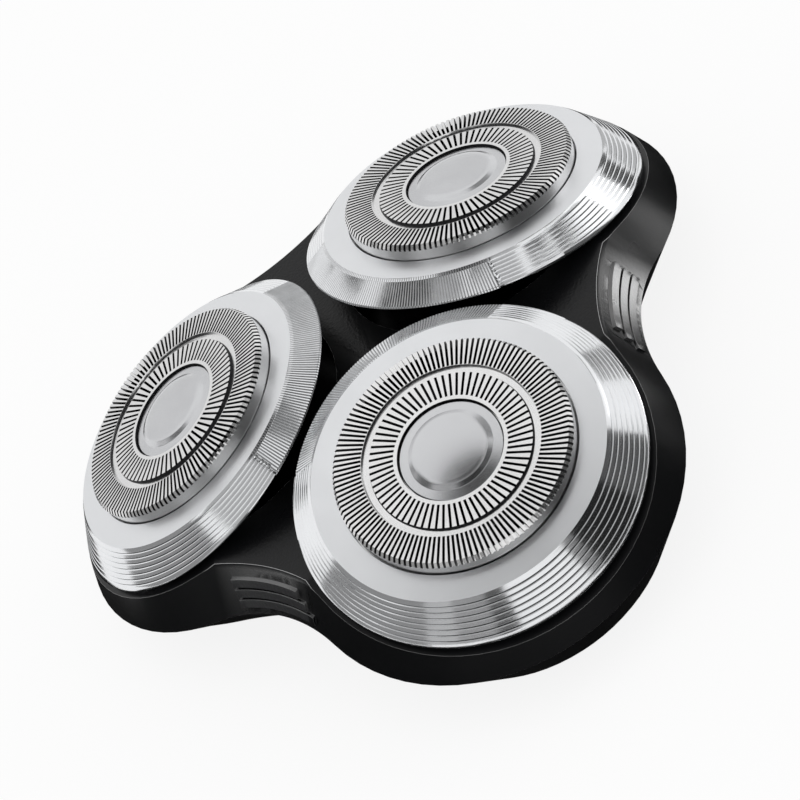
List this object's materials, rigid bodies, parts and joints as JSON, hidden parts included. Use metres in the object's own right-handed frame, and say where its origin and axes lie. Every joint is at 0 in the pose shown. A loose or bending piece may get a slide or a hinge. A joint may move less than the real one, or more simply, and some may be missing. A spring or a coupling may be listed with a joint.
{
  "type": "rotary shaver head",
  "caption": "Three-lobed rotary shaver head with leaning slotted shaving units in ridged metal bezels, each on a sprung, geared drive spindle.",
  "frame": {"origin": "on the middle axis, in the plane of the bottom face that the head rests on, at the mouth of the round seat for the handle", "axes": "+Z along the drive axis towards the shaving units, +X from the middle axis towards shaving unit 1"},
  "size_m": [0.0622, 0.0662, 0.0194],
  "materials": {
    "gloss_black": "glossy moulded black plastic",
    "matte_black": "matte moulded black plastic",
    "chrome": "bright chrome skirt with a satin top face",
    "guard_steel": "ground and polished steel",
    "satin_cap": "satin",
    "cutter_steel": "ground steel",
    "steel": "plain steel",
    "gear_resin": "natural acetal"
  },
  "bodies": {
    "base": {"upper_housing": "gloss_black", "lower_shell": "gloss_black", "gear_plate": "steel", "cover_screw_1": "steel", "cover_screw_2": "steel", "cover_screw_3": "steel"},
    "drive": {"drive_gear": "gear_resin"},
    "gear_1": {"cutter_gear_1": "gear_resin", "spindle_spring_1": "steel"},
    "spindle_1": {"drive_spindle_1": "steel"},
    "head_1": {"head_cup_1": "gloss_black", "bezel_ring_1": "chrome", "shaving_guard_1": "guard_steel", "guard_cap_1": "satin_cap", "retaining_ring_1": "matte_black"},
    "blades_1": {"cutter_1": "cutter_steel", "cutter_carrier_1": "gear_resin"},
    "gear_2": {"cutter_gear_2": "gear_resin", "spindle_spring_2": "steel"},
    "spindle_2": {"drive_spindle_2": "steel"},
    "head_2": {"head_cup_2": "gloss_black", "bezel_ring_2": "chrome", "shaving_guard_2": "guard_steel", "guard_cap_2": "satin_cap", "retaining_ring_2": "matte_black"},
    "blades_2": {"cutter_2": "cutter_steel", "cutter_carrier_2": "gear_resin"},
    "gear_3": {"cutter_gear_3": "gear_resin", "spindle_spring_3": "steel"},
    "spindle_3": {"drive_spindle_3": "steel"},
    "head_3": {"head_cup_3": "gloss_black", "bezel_ring_3": "chrome", "shaving_guard_3": "guard_steel", "guard_cap_3": "satin_cap", "retaining_ring_3": "matte_black"},
    "blades_3": {"cutter_3": "cutter_steel", "cutter_carrier_3": "gear_resin"}
  },
  "joints": [
    {"name": "drive_spin", "type": "hinge", "parent": "base", "child": "drive", "pos_m": [0, 0, 0.003], "axis": [0, 0, 1], "continuous": true},
    {"name": "gear_spin_1", "type": "hinge", "parent": "base", "child": "gear_1", "pos_m": [0.0177, 0, 0.0035], "axis": [0, 0, 1], "continuous": true},
    {"name": "spindle_press_1", "type": "slide", "parent": "gear_1", "child": "spindle_1", "axis": [0, 0, -1], "range_m": [0, 0.0003], "deforming": ["spindle_spring_1"]},
    {"name": "head_tilt_1", "type": "hinge", "parent": "base", "child": "head_1", "pos_m": [0.0177, 0, 0.0102], "axis": [0, -1, 0], "range_deg": [-1.5, 4]},
    {"name": "cutter_spin_1", "type": "hinge", "parent": "head_1", "child": "blades_1", "pos_m": [0.01901, 0, 0.0152], "axis": [0.2521, 0, 0.9677], "continuous": true},
    {"name": "gear_spin_2", "type": "hinge", "parent": "base", "child": "gear_2", "pos_m": [-0.00885, 0.01533, 0.0035], "axis": [0, 0, 1], "continuous": true},
    {"name": "spindle_press_2", "type": "slide", "parent": "gear_2", "child": "spindle_2", "axis": [0, 0, -1], "range_m": [0, 0.0003], "deforming": ["spindle_spring_2"]},
    {"name": "head_tilt_2", "type": "hinge", "parent": "base", "child": "head_2", "pos_m": [-0.00885, 0.01533, 0.0102], "axis": [0.866, 0.5, 0], "range_deg": [-1.5, 4]},
    {"name": "cutter_spin_2", "type": "hinge", "parent": "head_2", "child": "blades_2", "pos_m": [-0.0095, 0.01646, 0.0152], "axis": [-0.126, 0.2183, 0.9677], "continuous": true},
    {"name": "gear_spin_3", "type": "hinge", "parent": "base", "child": "gear_3", "pos_m": [-0.00885, -0.01533, 0.0035], "axis": [0, 0, 1], "continuous": true},
    {"name": "spindle_press_3", "type": "slide", "parent": "gear_3", "child": "spindle_3", "axis": [0, 0, -1], "range_m": [0, 0.0003], "deforming": ["spindle_spring_3"]},
    {"name": "head_tilt_3", "type": "hinge", "parent": "base", "child": "head_3", "pos_m": [-0.00885, -0.01533, 0.0102], "axis": [-0.866, 0.5, 0], "range_deg": [-1.5, 4]},
    {"name": "cutter_spin_3", "type": "hinge", "parent": "head_3", "child": "blades_3", "pos_m": [-0.0095, -0.01646, 0.0152], "axis": [-0.126, -0.2183, 0.9677], "continuous": true}
  ],
  "couplings": [
    {"joint": "gear_spin_1", "follows": "drive_spin", "ratio": -1.5652},
    {"joint": "cutter_spin_1", "follows": "drive_spin", "ratio": -1.5652},
    {"joint": "gear_spin_2", "follows": "drive_spin", "ratio": -1.5652},
    {"joint": "cutter_spin_2", "follows": "drive_spin", "ratio": -1.5652},
    {"joint": "gear_spin_3", "follows": "drive_spin", "ratio": -1.5652},
    {"joint": "cutter_spin_3", "follows": "drive_spin", "ratio": -1.5652}
  ]
}
